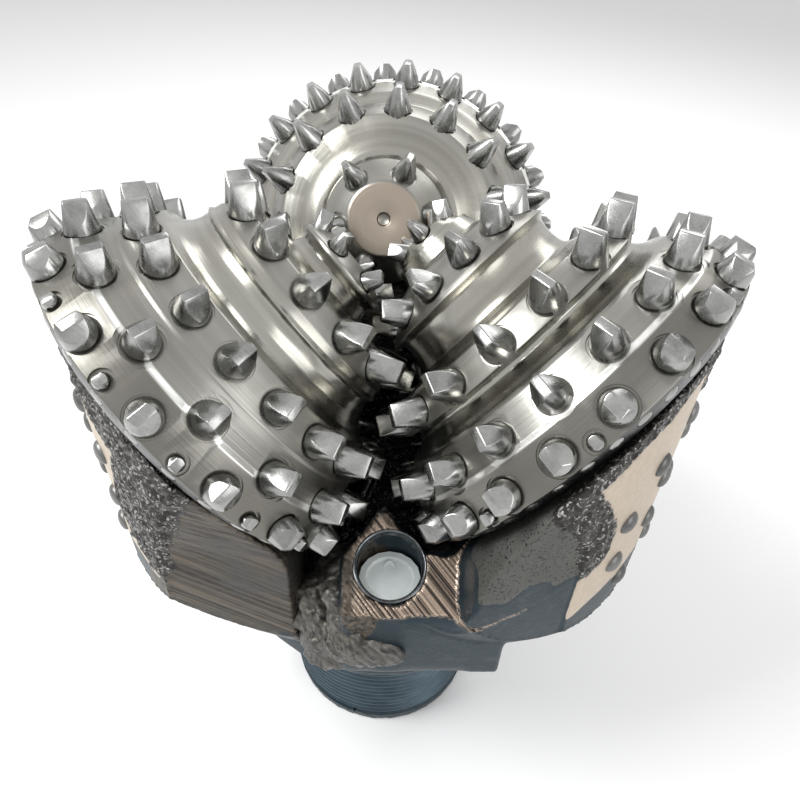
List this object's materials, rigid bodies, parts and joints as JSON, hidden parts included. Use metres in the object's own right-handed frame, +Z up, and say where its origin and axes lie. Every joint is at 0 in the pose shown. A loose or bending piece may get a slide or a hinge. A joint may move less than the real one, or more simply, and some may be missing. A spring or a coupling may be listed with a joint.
{
  "type": "tricone drill bit",
  "caption": "Rotary drill bit with offset rolling cones set with chisel inserts, on sealed journal bearings, with jet nozzles, grease reservoirs and a tapered pin end.",
  "frame": {"origin": "on the bit's axis, at the end face of the pin", "axes": "+Z runs up the bit's axis from the pin end to the cones; leg and cone 1 stand at 100 degrees from +X towards +Y, 2 at 220 and 3 at 340"},
  "size_m": [0.3054, 0.3032, 0.404],
  "materials": {
    "cone_steel": "turned bright, with fine lathe marks",
    "body_steel": "forged and ground alloy steel, dark, with rough weld hardfacing",
    "carbide": "polished tungsten carbide",
    "bearing_bronze": "machined bearing bronze",
    "spring_steel": "oiled spring steel",
    "seal_rubber": "moulded nitrile rubber",
    "plug_plastic": "pale moulded plastic shipping plug",
    "weld_metal": "rippled arc weld, dark with scale"
  },
  "bodies": {
    "bit_body": {"leg_1": "body_steel", "leg_2": "body_steel", "leg_3": "body_steel", "seam_weld_1": "weld_metal", "seam_weld_2": "weld_metal", "seam_weld_3": "weld_metal", "nozzle_1": "carbide", "nozzle_2": "carbide", "nozzle_3": "carbide", "nozzle_o_ring_1": "seal_rubber", "nozzle_o_ring_2": "seal_rubber", "nozzle_o_ring_3": "seal_rubber", "nozzle_snap_ring_1": "spring_steel", "nozzle_snap_ring_2": "spring_steel", "nozzle_snap_ring_3": "spring_steel", "nozzle_plug_1": "plug_plastic", "nozzle_plug_2": "plug_plastic", "nozzle_plug_3": "plug_plastic", "reservoir_canister_1": "spring_steel", "reservoir_canister_2": "spring_steel", "reservoir_canister_3": "spring_steel", "reservoir_diaphragm_1": "seal_rubber", "reservoir_diaphragm_2": "seal_rubber", "reservoir_diaphragm_3": "seal_rubber", "reservoir_cap_1": "body_steel", "reservoir_cap_2": "body_steel", "reservoir_cap_3": "body_steel", "reservoir_snap_ring_1": "spring_steel", "reservoir_snap_ring_2": "spring_steel", "reservoir_snap_ring_3": "spring_steel"},
    "rolling_cone_1": {"cone_1": "cone_steel", "bearing_bush_1": "bearing_bronze", "pilot_bush_1": "bearing_bronze", "thrust_disc_1": "bearing_bronze", "cone_seal_1": "seal_rubber", "retaining_ring_1": "spring_steel"},
    "rolling_cone_2": {"cone_2": "cone_steel", "bearing_bush_2": "bearing_bronze", "pilot_bush_2": "bearing_bronze", "thrust_disc_2": "bearing_bronze", "cone_seal_2": "seal_rubber", "retaining_ring_2": "spring_steel"},
    "rolling_cone_3": {"cone_3": "cone_steel", "bearing_bush_3": "bearing_bronze", "pilot_bush_3": "bearing_bronze", "thrust_disc_3": "bearing_bronze", "cone_seal_3": "seal_rubber", "retaining_ring_3": "spring_steel"}
  },
  "joints": [
    {"name": "cone_1_spin", "type": "hinge", "parent": "bit_body", "child": "rolling_cone_1", "pos_m": [-0.00591, -0.00104, 0.375], "axis": [-0.1465, 0.8306, -0.5373], "continuous": true},
    {"name": "cone_2_spin", "type": "hinge", "parent": "bit_body", "child": "rolling_cone_2", "pos_m": [0.00386, -0.0046, 0.375], "axis": [-0.6461, -0.5421, -0.5373], "continuous": true},
    {"name": "cone_3_spin", "type": "hinge", "parent": "bit_body", "child": "rolling_cone_3", "pos_m": [0.00205, 0.00564, 0.375], "axis": [0.7925, -0.2885, -0.5373], "continuous": true}
  ]
}
